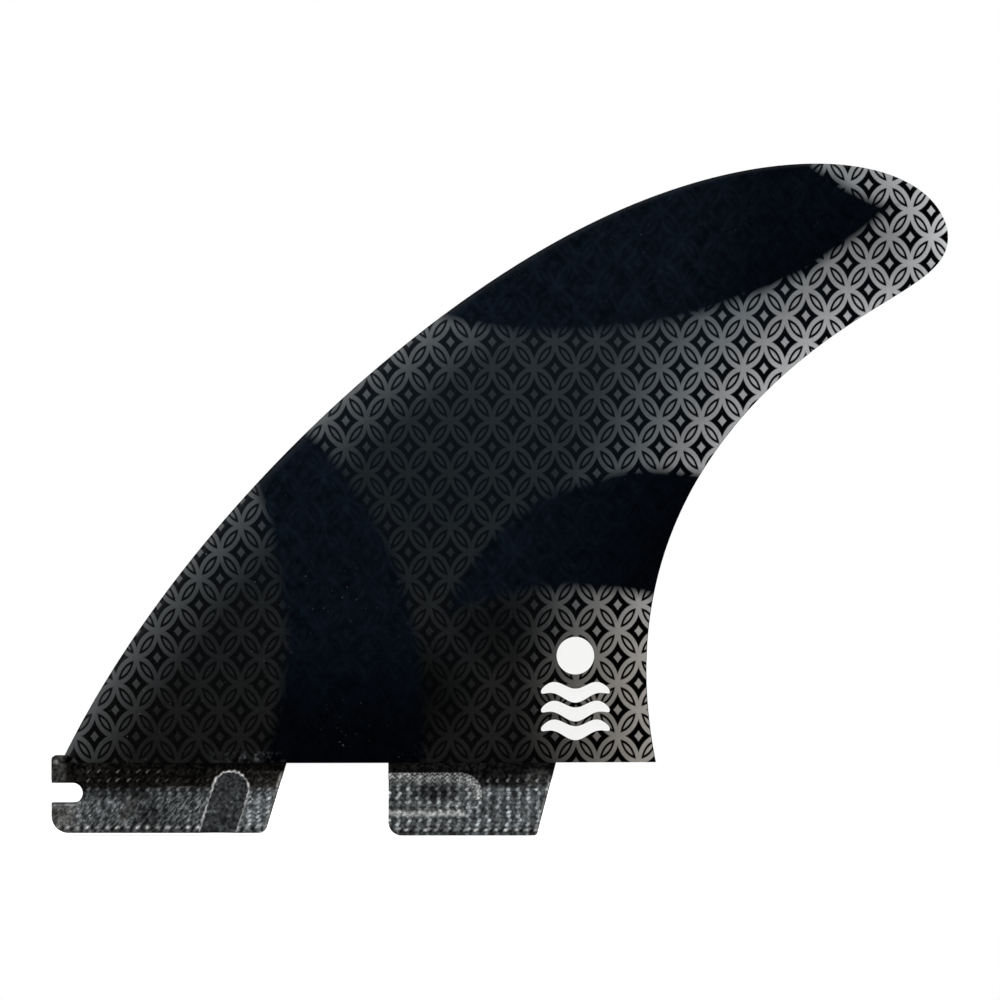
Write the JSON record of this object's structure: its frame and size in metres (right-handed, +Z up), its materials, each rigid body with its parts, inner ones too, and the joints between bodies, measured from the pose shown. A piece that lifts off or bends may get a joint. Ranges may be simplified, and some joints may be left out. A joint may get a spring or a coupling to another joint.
{
  "type": "surfboard fin",
  "caption": "Swept surfboard side fin: foiled printed blade with a flat inner face, on plug-in base tabs with a front hook notch, side hollows and raked rear edges.",
  "frame": {"origin": "on the plane where the fin's base meets the board, halfway along the pair of tabs and in the middle of their thickness", "axes": "+X along the base towards the board's tail, +Y out of the flat inner face, +Z up the blade away from the board"},
  "size_m": [0.1672, 0.0069, 0.1252],
  "materials": {
    "printed_blade": "clear glossy resin over a dark print",
    "glass_tab": "moulded glass cloth, satin",
    "white_mark": "white ink under clear resin"
  },
  "bodies": {
    "root": {"fin": "printed_blade"}
  },
  "joints": []
}
